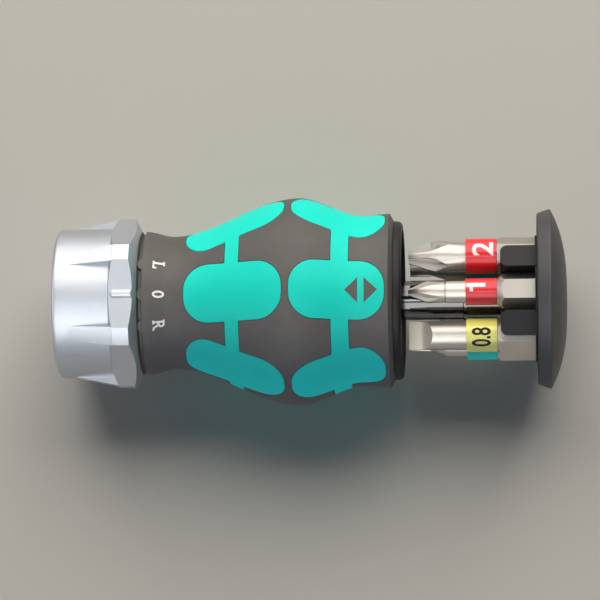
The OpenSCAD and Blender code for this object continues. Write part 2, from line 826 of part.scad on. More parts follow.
selector_ring();
nose_snap_ring();
nose_washer();
bit_holder();
socket_magnet();
ratchet_gear();
spindle_bush();
rear_circlip();
ratchet_body();
pawl(1);  // pawl_left
pawl(-1);  // pawl_right
pawl_pins();
pawl_springs();
detent_ball();
detent_spring();
handle_core();
soft_grip();
mouth_ring();
guide_rod();
rod_stop();
guide_column();
column_sleeve();
bit_crown();
end_cap();
bit_cross_2();
bit_cross_1();
bit_slotted();
bit_star_1();
bit_star_2();
bit_star_3();
color("red") colour_sleeve(cross_2_angle, neck_large_r);  // sleeve_cross_2
color("red") colour_sleeve(cross_1_angle, neck_small_r);  // sleeve_cross_1
color("yellow") colour_sleeve(slotted_angle, neck_slotted_r);  // sleeve_slotted
color("limegreen") colour_sleeve(star_1_angle, neck_large_r);  // sleeve_star_1
color("limegreen") colour_sleeve(star_2_angle, neck_large_r);  // sleeve_star_2
color("limegreen") colour_sleeve(star_3_angle, neck_large_r);  // sleeve_star_3
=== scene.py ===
from math import cos, pi, radians, sin

import bpy
from mathutils import Matrix, Vector


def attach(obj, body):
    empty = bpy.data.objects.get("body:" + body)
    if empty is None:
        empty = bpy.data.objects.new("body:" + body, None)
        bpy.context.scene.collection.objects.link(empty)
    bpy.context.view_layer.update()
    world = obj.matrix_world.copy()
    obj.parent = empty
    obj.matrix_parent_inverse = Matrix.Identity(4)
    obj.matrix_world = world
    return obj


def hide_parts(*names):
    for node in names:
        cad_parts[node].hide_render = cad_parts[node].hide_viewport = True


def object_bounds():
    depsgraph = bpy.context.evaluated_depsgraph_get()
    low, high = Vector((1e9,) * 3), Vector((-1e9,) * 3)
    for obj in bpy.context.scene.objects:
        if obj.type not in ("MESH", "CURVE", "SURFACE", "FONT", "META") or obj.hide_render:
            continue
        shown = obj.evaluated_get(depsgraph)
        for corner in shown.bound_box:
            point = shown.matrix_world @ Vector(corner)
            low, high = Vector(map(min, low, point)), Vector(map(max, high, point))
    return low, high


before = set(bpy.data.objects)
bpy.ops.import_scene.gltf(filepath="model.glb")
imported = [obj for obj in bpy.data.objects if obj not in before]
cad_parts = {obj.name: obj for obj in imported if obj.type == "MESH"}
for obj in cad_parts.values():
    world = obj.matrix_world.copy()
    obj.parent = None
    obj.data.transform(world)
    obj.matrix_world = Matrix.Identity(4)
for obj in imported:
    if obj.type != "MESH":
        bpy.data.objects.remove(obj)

cad_low, cad_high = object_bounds()

# Studio: a pale warm-grey table, seen from almost overhead. Two soft lamps light
# it, and five bright cards show only as reflections in the metal and plastic.
MM = 0.001
PHOTO_WIDTH_MM = 36.0
LENS_MM = 210.0
CAMERA_DISTANCE = 0.686
CAMERA_TARGET = Vector((47.3 * MM, 0.33 * MM, 0.0))
CAMERA_ELEVATION = radians(82.5)
CAP_END_TILT = radians(3.6)
AXIS_RISE = radians(0.65)
NEAREST_SEEN = 0.01
FARTHEST_SEEN = 20.0
LAMPS = (
    ("key_lamp", (0.06, 0.66, 0.71), (1.05, 0.75), 13.1, (1.0, 0.985, 0.95)),
    ("near_lamp", (0.05, -0.62, 0.05), (1.6, 0.14), 2.6, (0.60, 0.66, 1.0)),
)
CARDS = (
    ("far_card", (0.20, 0.80, 0.58), (2.8, 1.45), 34.5, (1.0, 0.975, 0.94)),
    ("top_card", (0.05, -0.16, 1.28), (1.0, 0.24), 3.0, (0.90, 0.95, 1.0)),
    ("near_card", (0.0, -0.64, 0.766), (2.0, 0.7), 12.4, (0.97, 0.98, 1.0)),
    ("low_card", (0.05, -0.98, 0.15), (2.2, 0.30), 0.8, (0.72, 0.84, 1.0)),
    ("nose_card", (-0.95, 0.05, 0.28), (1.1, 0.5), 3.4, (0.90, 0.95, 1.0)),
)
AIR_COLOUR = (0.80, 0.90, 1.0, 1)
AIR_STRENGTH = 0.02
TABLE_CENTRE_X = 0.05
TABLE_HALF = 3.0
TABLE_GAP = 0.05 * MM
TABLE_COLOUR = (0.49, 0.465, 0.415, 1)
TABLE_ROUGHNESS = 0.75

tool_axis = Vector((1, 0, 0))
to_camera = Vector((sin(CAP_END_TILT),
                    -cos(CAP_END_TILT) * cos(CAMERA_ELEVATION),
                    cos(CAP_END_TILT) * sin(CAMERA_ELEVATION)))
along_axis = (tool_axis - tool_axis.dot(to_camera) * to_camera).normalized()
across_axis = to_camera.cross(along_axis)
right = cos(AXIS_RISE) * along_axis - sin(AXIS_RISE) * across_axis
up = to_camera.cross(right)

bpy.ops.object.camera_add(location=CAMERA_TARGET + CAMERA_DISTANCE * to_camera)
camera = bpy.context.object
camera.rotation_euler = Matrix((right, up, to_camera)).transposed().to_euler()
camera.data.lens = LENS_MM
camera.data.sensor_width = PHOTO_WIDTH_MM
camera.data.clip_start = NEAREST_SEEN
camera.data.clip_end = FARTHEST_SEEN
bpy.context.scene.camera = camera
bpy.context.scene.view_settings.view_transform = "Standard"


def soft_lamp(name, place, size, watts, colour):
    """A rectangular softbox that faces the middle of the tool."""
    bpy.ops.object.light_add(type="AREA", location=place)
    lamp = bpy.context.object
    lamp.name = name
    backwards = Vector(place) - CAMERA_TARGET
    lamp.rotation_euler = backwards.to_track_quat("Z", "Y").to_euler()
    lamp.data.shape = "RECTANGLE"
    lamp.data.size, lamp.data.size_y = size
    lamp.data.energy = watts
    lamp.data.color = colour
    return lamp


for lamp in LAMPS:
    soft_lamp(*lamp).visible_glossy = False
for card in CARDS:
    soft_lamp(*card).visible_diffuse = False

world = bpy.data.worlds.new("studio_air")
world.use_nodes = True
air = world.node_tree.nodes["Background"]
air.inputs["Color"].default_value = AIR_COLOUR
air.inputs["Strength"].default_value = AIR_STRENGTH
bpy.context.scene.world = world

bpy.ops.mesh.primitive_plane_add(size=2 * TABLE_HALF,
                                 location=(TABLE_CENTRE_X, 0, cad_low.z - TABLE_GAP))
table = bpy.context.object
table.name = "table_top"
table_paint = bpy.data.materials.new("table_paint")
table_paint.use_nodes = True
table_shader = table_paint.node_tree.nodes["Principled BSDF"]
table_shader.inputs["Base Color"].default_value = TABLE_COLOUR
table_shader.inputs["Roughness"].default_value = TABLE_ROUGHNESS
table.data.materials.append(table_paint)

# Selector ring: a satin blasted zinc casting, its six ribs running into the
# hexagonal head. Its edges are slightly round, and its neck is painted dark as shade.
CAST_EDGE = 0.22 * MM
WELD = 0.001 * MM
ONE_FACE_ANGLE = 0.4
ZINC = (0.49, 0.51, 0.545)
NECK_SHADE_ZINC = (0.12, 0.12, 0.12)
NECK_START = 16.45 * MM
NECK_BED_R = 12.9 * MM
GRAIN_DETAIL = 3.0
TONE_SCALE = 180.0
TONE_DETAIL = 4.0
TONE_LOW = 0.3
TONE_HIGH = 0.7


def only(piece):
    """Selects one piece and nothing else."""
    bpy.ops.object.select_all(action="DESELECT")
    piece.select_set(True)
    bpy.context.view_layer.objects.active = piece


def apply(piece, kind, **settings):
    """Puts a modifier on a piece and applies it."""
    only(piece)
    modifier = piece.modifiers.new(kind.title(), kind)
    for key, value in settings.items():
        setattr(modifier, key, value)
    bpy.ops.object.modifier_apply(modifier=modifier.name)


def smooth(piece, angle=35):
    """Smooth shading that keeps flat faces flat, and edges over the angle sharp."""
    only(piece)
    bpy.ops.object.shade_smooth_by_angle(angle=radians(angle))
    apply(piece, "WEIGHTED_NORMAL", keep_sharp=True)


def welded_copy(node, name):
    """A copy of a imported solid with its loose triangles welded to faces."""
    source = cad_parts[node]
    piece = bpy.data.objects.new(name, source.data.copy())
    bpy.context.collection.objects.link(piece)
    piece.data.materials.clear()
    only(piece)
    bpy.ops.object.mode_set(mode="EDIT")
    bpy.ops.mesh.select_all(action="SELECT")
    bpy.ops.mesh.remove_doubles(threshold=WELD)
    bpy.ops.mesh.customdata_custom_splitnormals_clear()
    bpy.ops.mesh.dissolve_limited(angle_limit=radians(ONE_FACE_ANGLE))
    bpy.ops.mesh.normals_make_consistent(inside=False)
    bpy.ops.object.mode_set(mode="OBJECT")
    return piece


def ease_edges(piece, width, angle=28, segments=3):
    """Rounds every edge that is sharper than the angle."""
    apply(piece, "BEVEL", width=width, segments=segments, limit_method="ANGLE",
          angle_limit=radians(angle), use_clamp_overlap=True, harden_normals=False)


def finish(name, colour, roughness, metallic=0.0, grain=4000.0, depth=0.01 * MM,
           shade=0.05, spread=0.06, stretch=(1, 1, 1), **sockets):
    """A surface with a fine grain in its relief, and slow changes of tone and gloss."""
    paint = bpy.data.materials.new(name)
    paint.use_nodes = True
    nodes, links = paint.node_tree.nodes, paint.node_tree.links
    shader = nodes["Principled BSDF"]
    shader.inputs["Metallic"].default_value = metallic
    for socket, value in sockets.items():
        shader.inputs[socket.replace("_", " ")].default_value = value
    place = nodes.new("ShaderNodeTexCoord")
    scaled = nodes.new("ShaderNodeMapping")
    scaled.inputs["Scale"].default_value = stretch
    links.new(place.outputs["Object"], scaled.inputs["Vector"])
    fine = nodes.new("ShaderNodeTexNoise")
    fine.inputs["Scale"].default_value = grain
    fine.inputs["Detail"].default_value = GRAIN_DETAIL
    links.new(scaled.outputs["Vector"], fine.inputs["Vector"])
    slow = nodes.new("ShaderNodeTexNoise")
    slow.inputs["Scale"].default_value = TONE_SCALE
    slow.inputs["Detail"].default_value = TONE_DETAIL
    links.new(place.outputs["Object"], slow.inputs["Vector"])
    tone = nodes.new("ShaderNodeValToRGB")
    dark, light = tone.color_ramp.elements
    dark.position = TONE_LOW
    light.position = TONE_HIGH
    dark.color = (*[c * (1 - shade) for c in colour], 1)
    light.color = (*[min(1, c * (1 + shade)) for c in colour], 1)
    links.new(slow.outputs["Fac"], tone.inputs["Fac"])
    links.new(tone.outputs["Color"], shader.inputs["Base Color"])
    gloss = nodes.new("ShaderNodeMapRange")
    gloss.inputs["To Min"].default_value = roughness - spread
    gloss.inputs["To Max"].default_value = roughness + spread
    links.new(fine.outputs["Fac"], gloss.inputs["Value"])
    links.new(gloss.outputs["Result"], shader.inputs["Roughness"])
    relief = nodes.new("ShaderNodeBump")
    relief.inputs["Distance"].default_value = depth
    relief.inputs["Strength"].default_value = 1.0
    links.new(fine.outputs["Fac"], relief.inputs["Height"])
    links.new(relief.outputs["Normal"], shader.inputs["Normal"])
    return paint


def dress(piece, paint, body, slot, *nodes):
    """Gives a piece its material, its body and the solids that it stands for."""
    piece.data.materials.clear()
    piece.data.materials.append(paint)
    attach(piece, body)
    if nodes:
        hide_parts(*nodes)


satin_zinc = finish("satin_zinc", ZINC, roughness=0.46, metallic=1.0, grain=7000.0,
                    depth=0.004 * MM, shade=0.03)
ring = welded_copy("selector_ring", "ring_casting")
ease_edges(ring, CAST_EDGE, angle=16)
smooth(ring, angle=30)
dress(ring, satin_zinc, "selector", "satin_zinc", "selector_ring")
# The neck behind the chamfer gets a dark zinc: painted shade for the handle's shadow
# there.
painted_shade_zinc = finish("painted_shade_zinc", NECK_SHADE_ZINC, roughness=0.65, metallic=1.0, grain=2500.0)
ring.data.materials.append(painted_shade_zinc)
for face in ring.data.polygons:
    if face.center.x > NECK_START and face.center.yz.length > NECK_BED_R:
        face.material_index = 1

# Nose: the turned steel bit holder in the middle of the ring, with a magnet at the
# end of its socket. A spring ring and a washer keep the selector ring on.
STEEL = (0.62, 0.62, 0.63)
DARK_STEEL = (0.30, 0.30, 0.31)
SPRING_STEEL = (0.20, 0.19, 0.19)
TURNED_EDGE = 0.12 * MM


def paint_nodes(paint, *names):
    """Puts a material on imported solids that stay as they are."""
    for name in names:
        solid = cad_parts[name]
        solid.data.materials.clear()
        solid.data.materials.append(paint)


turned_steel = finish("turned_steel", STEEL, roughness=0.26, metallic=1.0, grain=900.0,
                      depth=0.003 * MM, stretch=(12, 1, 1))
spring_steel = finish("spring_steel", SPRING_STEEL, roughness=0.35, metallic=1.0)
hard_steel = finish("hard_steel", DARK_STEEL, roughness=0.38, metallic=1.0)

holder = welded_copy("bit_holder", "bit_holder_turned")
ease_edges(holder, TURNED_EDGE)
smooth(holder)
dress(holder, turned_steel, "spindle", "tool_steel", "bit_holder")
paint_nodes(turned_steel, "socket_magnet")
paint_nodes(spring_steel, "nose_snap_ring")
paint_nodes(hard_steel, "nose_washer")

# Ratchet: a hardened gear and two pawls with pins and leaf springs, in a steel body
# behind the ring. The holder turns in a bronze bush, and a sprung ball holds the
# ring at each of its settings.
BRONZE = (0.50, 0.30, 0.12)
bronze = finish("sintered_bronze", BRONZE, roughness=0.45, metallic=1.0, grain=3000.0)
paint_nodes(hard_steel, "ratchet_gear", "ratchet_body", "pawl_left", "pawl_right")
paint_nodes(turned_steel, "pawl_pins", "detent_ball")
paint_nodes(spring_steel, "rear_circlip", "pawl_springs", "detent_spring")
paint_nodes(bronze, "spindle_bush")

# Handle: a hard green core whose pads and bands come up flush through a black
# soft grip. Both have the same waisted outline, from the rim to the collar.
FRONT = (17.5, 14.05)
WAIST = (22.7, 13.0)
BELLY = (47.3, 20.25)
REAR_WAIST = (60.0, 16.6)
COLLAR = (65.1, 17.0)
SPANS = ((FRONT, WAIST, 10), (WAIST, BELLY, 34), (BELLY, REAR_WAIST, 20),
         (REAR_WAIST, COLLAR, 8))
HANDLE_END = 65.9
LIP_R = 15.5
GRIP_DEPTH = 1.2
PAD_DEPTH = 1.5 * GRIP_DEPTH
PAD_WIDTH = 11.3
PAD_CORNER = 4.9
PAD_CORNER_STEPS = 10
PAD_LIFT = 18.0
PAD_HEIGHT = 15.0
FRONT_PADS = (25.6, 44.9)
REAR_PADS = (46.3, 64.4)
FRONT_BAND = (33.7, 36.4)
REAR_BAND = (54.2, 57.5)
BAND_RADII = (10, 30)
SEAM = 0.12
SEAM_DEPTH = 0.35
PAD_FIT = 0.005
CAVITY_R = 12.9
CAVITY_START = 32.0
CAVITY_STEP = 56.5
MOUTH_R = 13.8
SPIGOT_R = 14.7
SPIGOT_START = 61.0
BULKHEAD_START = 24.0
BULKHEAD_STEP = 30.0
ROD_HOLE_R = 2.0
ROD_HEAD_R = 4.3
RATCHET_BORE_R = 10.5
TURNS = 144
SIDES = 6
SETTINGS = (-radians(26), 0.0, radians(26))
NUB_LENGTH = 0.85
NUB_WIDTH = 2.4
NUB_FOOT = 16.9
NUB_LOW_R = 13.45
NUB_TOP_R = 13.9
NUB_SIDES = 40
GREEN = (0.0, 0.76, 0.61)
SOFT_BLACK = (0.070, 0.063, 0.056)


def curve_between(start, end, count):
    """Points of an S-shaped blend from one (x, radius) to the next."""
    points = []
    for i in range(count):
        t = i / count
        s = t * t * (3 - 2 * t)
        points.append((start[0] + (end[0] - start[0]) * t,
                       start[1] + (end[1] - start[1]) * s))
    return points


def handle_outline(inset):
    """The handle's (x, radius) outline, drawn in by the inset."""
    line = [point for span in SPANS for point in curve_between(*span)] + [COLLAR]
    return [(x, r - inset) for x, r in line]


def turn(piece, angle):
    """Turns a piece about the tool axis."""
    piece.data.transform(Matrix.Rotation(angle, 4, "X"))


def closed_line(name, points):
    """Draws a closed line through (x, y, z) points, in mm, and stays in edit mode."""
    bpy.ops.object.select_all(action="DESELECT")
    bpy.ops.mesh.primitive_plane_add(size=MM, location=(0, 0, 0))
    piece = bpy.context.object
    piece.name = name
    bpy.ops.object.mode_set(mode="EDIT")
    bpy.ops.mesh.select_all(action="SELECT")
    bpy.ops.mesh.merge(type="CENTER")
    bpy.ops.transform.translate(value=MM * Vector(points[0]))
    for start, end in zip(points, points[1:]):
        bpy.ops.mesh.extrude_region_move(
            TRANSFORM_OT_translate={"value": MM * (Vector(end) - Vector(start))})
    bpy.ops.object.mode_set(mode="OBJECT")
    corners = [i for edge in piece.data.edges for i in edge.vertices]
    for vertex in piece.data.vertices:
        vertex.select = corners.count(vertex.index) == 1
    bpy.ops.object.mode_set(mode="EDIT")
    bpy.ops.mesh.edge_face_add()
    bpy.ops.mesh.select_all(action="SELECT")
    return piece


def lathe(name, outline, steps=TURNS):
    """Spins a closed (x, radius) outline, in mm, about the tool axis."""
    piece = closed_line(name, [(x, 0, r) for x, r in outline])
    bpy.ops.mesh.spin(steps=steps, angle=2 * pi, center=(0, 0, 0), axis=(1, 0, 0))
    bpy.ops.mesh.select_all(action="SELECT")
    bpy.ops.mesh.remove_doubles(threshold=WELD)
    bpy.ops.mesh.normals_make_consistent(inside=False)
    bpy.ops.object.mode_set(mode="OBJECT")
    return piece


def plain_ring(name, ends, radii, steps=TURNS):
    """A ring or disc with flat ends about the tool axis, in mm."""
    (start, end), (inner, outer) = ends, radii
    return lathe(name, [(start, inner), (end, inner), (end, outer), (start, outer)], steps)


def join(pieces):
    """Joins pieces into the first one."""
    only(pieces[0])
    for piece in pieces:
        piece.select_set(True)
    bpy.ops.object.join()
    return pieces[0]


def round_edges(piece, picks, radius, steps):
    """Rounds the edges whose two ends pass the test, by a radius in mm."""
    bpy.ops.object.mode_set(mode="EDIT")
    bpy.ops.mesh.select_mode(type="EDGE")
    bpy.ops.mesh.select_all(action="DESELECT")
    bpy.ops.object.mode_set(mode="OBJECT")
    for edge in piece.data.edges:
        edge.select = picks(*[piece.data.vertices[i].co for i in edge.vertices])
    bpy.ops.object.mode_set(mode="EDIT")
    bpy.ops.mesh.bevel(offset=radius * MM, segments=steps, affect="EDGES")
    bpy.ops.mesh.select_mode(type="VERT")
    bpy.ops.object.mode_set(mode="OBJECT")


def pad_cutter(ends, grow):
    """Six rounded prisms that stand square to the axis, one per side."""
    bpy.ops.object.select_all(action="DESELECT")
    length = ends[1] - ends[0] + 2 * grow
    width = PAD_WIDTH + 2 * grow
    bpy.ops.mesh.primitive_cube_add(
        size=1, location=(sum(ends) / 2 * MM, 0, PAD_LIFT * MM),
        scale=(length * MM, width * MM, PAD_HEIGHT * MM))
    first = bpy.context.object
    only(first)
    bpy.ops.object.transform_apply(location=True, rotation=True, scale=True)
    round_edges(first, lambda a, b: abs(a.z - b.z) > MM, PAD_CORNER + grow,
                PAD_CORNER_STEPS)
    copies = [first]
    for k in range(1, SIDES):
        copy = first.copy()
        copy.data = first.data.copy()
        turn(copy, k * 2 * pi / SIDES)
        bpy.context.collection.objects.link(copy)
        copies.append(copy)
    return join(copies)


def band_cutter(ends, grow):
    """A ring that crosses the grip where a band joins the pads."""
    return plain_ring("band_cutter", (ends[0] - grow, ends[1] + grow), BAND_RADII)


def cut(piece, cutter, operation="DIFFERENCE"):
    """Cuts a piece with another one, which is then thrown away."""
    apply(piece, "BOOLEAN", operation=operation, solver="MANIFOLD", object=cutter)
    bpy.data.objects.remove(cutter)
    return piece


def pad_windows(grow):
    """All that comes up through the grip."""
    cutter = pad_cutter(FRONT_PADS, grow)
    for other in (pad_cutter(REAR_PADS, grow), band_cutter(FRONT_BAND, grow),
                  band_cutter(REAR_BAND, grow)):
        cut(cutter, other, "UNION")
    return cutter


def skin(name, inset, depth):
    """A layer of the handle, as deep as asked, that starts at the inset."""
    outer = handle_outline(inset) + [(HANDLE_END, LIP_R)]
    inner = [(x, r - depth) for x, r in outer[:-1]]
    return lathe(name, outer + inner[::-1])


green_plastic = finish("green_plastic", GREEN, roughness=0.50, grain=5000.0,
                       depth=0.006 * MM, shade=0.02, Specular_IOR_Level=0.18)
soft_black = finish("soft_black", SOFT_BLACK, roughness=0.60, grain=3500.0,
                    depth=0.035 * MM, shade=0.10, Specular_IOR_Level=0.5)

pads = cut(skin("handle_core_pads", 0.0, PAD_DEPTH), pad_windows(0.0), "INTERSECT")
core = lathe("handle_core_body", handle_outline(GRIP_DEPTH) + [
    (HANDLE_END - SEAM, LIP_R - SEAM), (HANDLE_END - SEAM, SPIGOT_R),
    (SPIGOT_START, SPIGOT_R), (SPIGOT_START, MOUTH_R),
    (CAVITY_STEP, MOUTH_R), (CAVITY_STEP, CAVITY_R),
    (CAVITY_START, CAVITY_R), (CAVITY_START, ROD_HEAD_R),
    (BULKHEAD_STEP, ROD_HEAD_R), (BULKHEAD_STEP, ROD_HOLE_R),
    (BULKHEAD_START, ROD_HOLE_R), (BULKHEAD_START, RATCHET_BORE_R),
    (FRONT[0], RATCHET_BORE_R)])
core = join([core, pads])
smooth(core)
dress(core, green_plastic, "handle", "green_plastic", "handle_core")

grip = cut(skin("soft_grip_skin", 0.0, SEAM_DEPTH), pad_windows(SEAM))
bed = cut(skin("soft_grip_bed", SEAM_DEPTH, GRIP_DEPTH - SEAM_DEPTH - SEAM),
          pad_windows(PAD_FIT))
nubs = lathe("pointer_nubs", [(NUB_FOOT, NUB_LOW_R), (FRONT[0] - NUB_LENGTH, NUB_TOP_R),
                              (FRONT[0] + NUB_LENGTH, NUB_TOP_R),
                              (FRONT[0] + NUB_LENGTH, NUB_LOW_R)])
posts = []
for angle in SETTINGS:
    bpy.ops.object.select_all(action="DESELECT")
    bpy.ops.mesh.primitive_cylinder_add(
        vertices=NUB_SIDES, radius=MM, depth=FRONT[1] * MM,
        location=(FRONT[0] * MM, 0, FRONT[1] * MM))
    post = bpy.context.object
    post.scale = (NUB_LENGTH, NUB_WIDTH / 2, 1)
    only(post)
    bpy.ops.object.transform_apply(location=True, rotation=True, scale=True)
    turn(post, angle)
    posts.append(post)
cut(nubs, join(posts), "INTERSECT")
grip = join([grip, bed, nubs])
smooth(grip)
dress(grip, soft_black, "handle", "black_elastomer", "soft_grip")

# Printing on the handle: the three settings in white beside their nubs, and a
# black double arrow on one pad, both pad-printed as a thin film.
FILM = 0.03
LETTER_X = 20.72
LETTER_HEIGHT = 2.3
R_WIDTH = 1.75
ZERO_WIDTH = 1.45
L_STROKES = ((-0.62, -0.16, -1.15, 1.15), (-0.85, 0.85, -1.16, -0.84),
             (-0.86, 0.10, 0.86, 1.16), (0.55, 0.86, -1.17, -0.40))
R_STROKES = ((-1.05, -0.28, -1.16, -0.84), (-1.06, -0.5, 0.86, 1.16),
             (0.42, 1.06, -1.17, -0.84))
TEXT_RISE = 4
STROKE_RISE = 4.1
ARROW_RISE = 8
ARROW_BASES = (59.3, 60.5)
ARROW_TIPS = (56.85, 63.15)
ARROW_HALF = 2.45
PRINT_WHITE = (0.86, 0.86, 0.83)


def solid_text(words, width, height, weight):
    """Upright solid characters, centred, as wide and high as asked, in mm."""
    bpy.ops.object.select_all(action="DESELECT")
    bpy.ops.object.text_add(location=(0, 0, 0))
    text = bpy.context.object
    text.data.body = words
    text.data.offset = weight
    text.data.extrude = 0.5
    bpy.ops.object.convert(target="MESH")
    text = bpy.context.object
    spots = [vertex.co for vertex in text.data.vertices]
    low = Vector([min(spot[i] for spot in spots) for i in range(3)])
    high = Vector([max(spot[i] for spot in spots) for i in range(3)])
    text.data.transform(Matrix.Translation(-(low + high) / 2))
    text.data.transform(Matrix.Diagonal((width * MM / (high.x - low.x),
                                         height * MM / (high.y - low.y),
                                         TEXT_RISE * MM, 1)))
    only(text)
    bpy.ops.object.mode_set(mode="EDIT")
    bpy.ops.mesh.select_all(action="SELECT")
    bpy.ops.mesh.remove_doubles(threshold=WELD)
    bpy.ops.mesh.normals_make_consistent(inside=False)
    bpy.ops.object.mode_set(mode="OBJECT")
    return text


def bar(x0, x1, y0, y1):
    """One upright solid stroke of a letter, in mm."""
    bpy.ops.object.select_all(action="DESELECT")
    bpy.ops.mesh.primitive_cube_add(
        size=MM, location=((x0 + x1) / 2 * MM, (y0 + y1) / 2 * MM, 0),
        scale=(x1 - x0, y1 - y0, STROKE_RISE))
    stroke = bpy.context.object
    only(stroke)
    bpy.ops.object.transform_apply(location=True, rotation=True, scale=True)
    return stroke


def add_strokes(letter, strokes):
    """Adds bars to a letter."""
    for stroke in strokes:
        cut(letter, bar(*stroke), "UNION")
    return letter


def place_text(text, quarter, x, radius, angle):
    """Turns lettering on its spot and lays it on a round surface."""
    text.data.transform(Matrix.Rotation(quarter, 4, "Z"))
    text.data.transform(Matrix.Translation((x * MM, 0, radius * MM)))
    turn(text, angle)
    return text


letter_l = add_strokes(bar(*L_STROKES[0]), L_STROKES[1:])
letter_r = add_strokes(solid_text("R", R_WIDTH, LETTER_HEIGHT, weight=0.02), R_STROKES)
zero = solid_text("0", ZERO_WIDTH, LETTER_HEIGHT, weight=0.025)
letters = join([place_text(letter, -pi / 2, LETTER_X, WAIST[1], angle)
                for letter, angle in zip((letter_l, zero, letter_r), SETTINGS)])
letters.name = "setting_letters"
cut(letters, skin("print_film", -FILM, 2 * FILM), "INTERSECT")
white_print = finish("white_print", PRINT_WHITE, roughness=0.5, grain=6000.0, shade=0.02)
dress(letters, white_print, "handle", "black_elastomer")

arrows = []
for base, tip in zip(ARROW_BASES, ARROW_TIPS):
    bpy.ops.object.select_all(action="DESELECT")
    bpy.ops.mesh.primitive_cylinder_add(vertices=3, radius=MM, depth=ARROW_RISE * MM,
                                        location=(0, 0, 0))
    arrow = bpy.context.object
    spots = [vertex.co for vertex in arrow.data.vertices]
    far = max(spot.y for spot in spots)
    near = min(spot.y for spot in spots)
    wide = max(spot.x for spot in spots)
    for spot in spots:
        share = (spot.y - near) / (far - near)
        spot.x, spot.y = ((base + (tip - base) * share) * MM,
                          spot.x / wide * ARROW_HALF * MM)
    arrow.data.transform(Matrix.Translation((0, 0, REAR_WAIST[1] * MM)))
    only(arrow)
    bpy.ops.object.mode_set(mode="EDIT")
    bpy.ops.mesh.select_all(action="SELECT")
    bpy.ops.mesh.normals_make_consistent(inside=False)
    bpy.ops.object.mode_set(mode="OBJECT")
    arrows.append(arrow)
arrow_marks = join(arrows)
arrow_marks.name = "arrow_marks"
cut(arrow_marks, skin("print_film", -FILM, 2 * FILM), "INTERSECT")
dress(arrow_marks, soft_black, "handle", "green_plastic")

# Mouth ring: a black moulded plastic ring, pressed into the handle's rear end. The
# magazine slides in through it, and the cap closes over its lip.
MOUTH_EDGE = 0.15 * MM
DEEP_BLACK = (0.014, 0.014, 0.014)
deep_black = finish("deep_black", DEEP_BLACK, roughness=0.45, grain=3000.0,
                    depth=0.012 * MM, shade=0.10, Specular_IOR_Level=0.2)
mouth = welded_copy("mouth_ring", "mouth_ring_moulded")
ease_edges(mouth, MOUTH_EDGE)
smooth(mouth)
dress(mouth, deep_black, "handle", "black_plastic", "mouth_ring")

# Guide rod and its stop: bright turned steel. The rod is bolted to the handle's
# bulkhead, and the magazine's column slides on it.
paint_nodes(turned_steel, "guide_rod", "rod_stop")

# Magazine column: two glossy black plastic tubes, one behind the other, that slide
# on the guide rod and carry the crown and the cap.
GLOSS_BLACK = (0.004, 0.004, 0.005)
gloss_black = finish("gloss_black", GLOSS_BLACK, roughness=0.11, grain=1500.0,
                     depth=0.002 * MM, shade=0.05, spread=0.03, IOR=2.2)
for node, name in (("guide_column", "column_front_tube"),
                   ("column_sleeve", "column_rear_tube")):
    column = welded_copy(node, name)
    smooth(column)
    dress(column, gloss_black, "magazine", "gloss_black", node)

# Bit crown: a moulded base with four claws that hold the bits' shanks. It is
# open beside the two bits at the sides, and a claw's front corners are round.
MAGAZINE_TURN = -2.5
OVERRUN = 1
CLAW_ANGLES = (-150, -30, 30, 150)
CLAW_START = 86.6
CLAW_ROOT = 93.85
CLAW_R = 13.2
CLAW_HALF = 2.65
CLAW_EDGE = 0.3 * MM
CLAW_CORNER = 1.3
CLAW_CORNER_STEPS = 6
CORNER_BAND = 1
STEM_HALF = 1.1
STEM_R = (4.25, 9.4)
CLAW_CLEARANCE_RADII = (0.5, 16)
FLOOR_START = 93.3
FLOOR_RADII = (4.25, 13.2)
FLOOR_HALF = 11.6
FLOOR_REACH = 15
POCKET_R = 3.75
POCKET_STEPS = 48
BIT_CIRCLE_R = 8.95


def swept(name, points, move):
    """A solid with a flat outline through the points that runs along the move, in mm."""
    piece = closed_line(name, points)
    bpy.ops.mesh.edge_face_add()
    bpy.ops.mesh.extrude_region_move(TRANSFORM_OT_translate={"value": MM * Vector(move)})
    bpy.ops.mesh.select_all(action="SELECT")
    bpy.ops.mesh.normals_make_consistent(inside=False)
    bpy.ops.object.mode_set(mode="OBJECT")
    return piece


def prism(name, outline, start, end):
    """A solid with a (y, z) outline, in mm, that runs along the tool axis."""
    return swept(name, [(start, y, z) for y, z in outline], (end - start, 0, 0))


def to_bit_place(piece, angle):
    """Moves a piece from the tool axis to the place of the bit at the angle."""
    piece.data.transform(Matrix.Translation((0, 0, BIT_CIRCLE_R * MM)))
    turn(piece, radians(MAGAZINE_TURN + angle))


def is_front_corner(a, b):
    """Whether an edge between two points is a corner at a claw's free end."""
    shoulder = (CLAW_R - CORNER_BAND) * MM
    return (max(a.x, b.x) < (CLAW_START + CORNER_BAND) * MM
            and max(a.z, b.z) > shoulder > min(a.z, b.z))


crown = welded_copy("bit_crown", "crown_moulded")
cut(crown, plain_ring("claw_clearance", (CLAW_START - OVERRUN, CLAW_ROOT),
                      CLAW_CLEARANCE_RADII))
claws = []
for angle in CLAW_ANGLES:
    half = [(STEM_HALF, STEM_R[0]), (STEM_HALF, STEM_R[1]), (CLAW_HALF, CLAW_R)]
    outline = half + [(-y, r) for y, r in half[::-1]]
    claw = prism("claw", outline, CLAW_START, CLAW_ROOT)
    round_edges(claw, is_front_corner, CLAW_CORNER, CLAW_CORNER_STEPS)
    ease_edges(claw, CLAW_EDGE)
    turn(claw, radians(MAGAZINE_TURN + angle))
    claws.append(claw)
floor = plain_ring("crown_floor", (FLOOR_START, CLAW_ROOT), FLOOR_RADII)
outline = [(-FLOOR_HALF, -FLOOR_REACH), (FLOOR_HALF, -FLOOR_REACH),
           (FLOOR_HALF, FLOOR_REACH), (-FLOOR_HALF, FLOOR_REACH)]
floor_sides = prism("floor_sides", outline, FLOOR_START - OVERRUN, CLAW_ROOT + OVERRUN)
